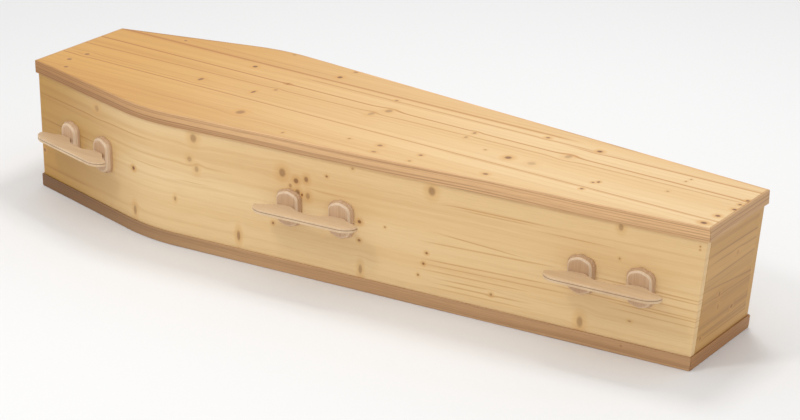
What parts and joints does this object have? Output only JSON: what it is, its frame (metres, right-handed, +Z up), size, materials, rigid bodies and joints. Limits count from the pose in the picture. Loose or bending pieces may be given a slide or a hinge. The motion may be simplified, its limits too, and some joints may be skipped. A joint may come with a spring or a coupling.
{
  "type": "wooden coffin",
  "caption": "Hollow six-sided pine coffin with bent shoulders, a lift-off lid with edge strips, a base trim and wooden bar handles on the sides.",
  "frame": {"origin": "middle of the footprint on the floor", "axes": "+X towards the foot end, +Z up, -Y the side that the picture shows"},
  "size_m": [1.93, 0.6244, 0.344],
  "materials": {
    "pine_lid": "smooth clear-waxed pine",
    "pine_side": "smooth clear-waxed pine",
    "pine_end": "smooth clear-waxed pine, darker",
    "lid_edge": "satin softwood strip with straight grain",
    "base_trim": "satin softwood strip with a rounded top edge",
    "handle_wood": "satin turned and laminated wood"
  },
  "bodies": {
    "root": {"side_panel_right": "pine_side", "side_panel_left": "pine_side", "head_board": "pine_end", "foot_board": "pine_end", "base_board": "pine_side", "base_trim_right": "base_trim", "base_trim_left": "base_trim", "base_trim_head": "base_trim", "base_trim_foot": "base_trim", "lid_board": "pine_lid", "lid_edge_right": "lid_edge", "lid_edge_left": "lid_edge", "lid_edge_head": "lid_edge", "lid_edge_foot": "lid_edge", "handle_right_head_bar": "handle_wood", "handle_right_head_plate_head": "handle_wood", "handle_right_head_plate_foot": "handle_wood", "handle_right_middle_bar": "handle_wood", "handle_right_middle_plate_head": "handle_wood", "handle_right_middle_plate_foot": "handle_wood", "handle_right_foot_bar": "handle_wood", "handle_right_foot_plate_head": "handle_wood", "handle_right_foot_plate_foot": "handle_wood", "handle_left_head_bar": "handle_wood", "handle_left_head_plate_head": "handle_wood", "handle_left_head_plate_foot": "handle_wood", "handle_left_middle_bar": "handle_wood", "handle_left_middle_plate_head": "handle_wood", "handle_left_middle_plate_foot": "handle_wood", "handle_left_foot_bar": "handle_wood", "handle_left_foot_plate_head": "handle_wood", "handle_left_foot_plate_foot": "handle_wood"}
  },
  "joints": []
}
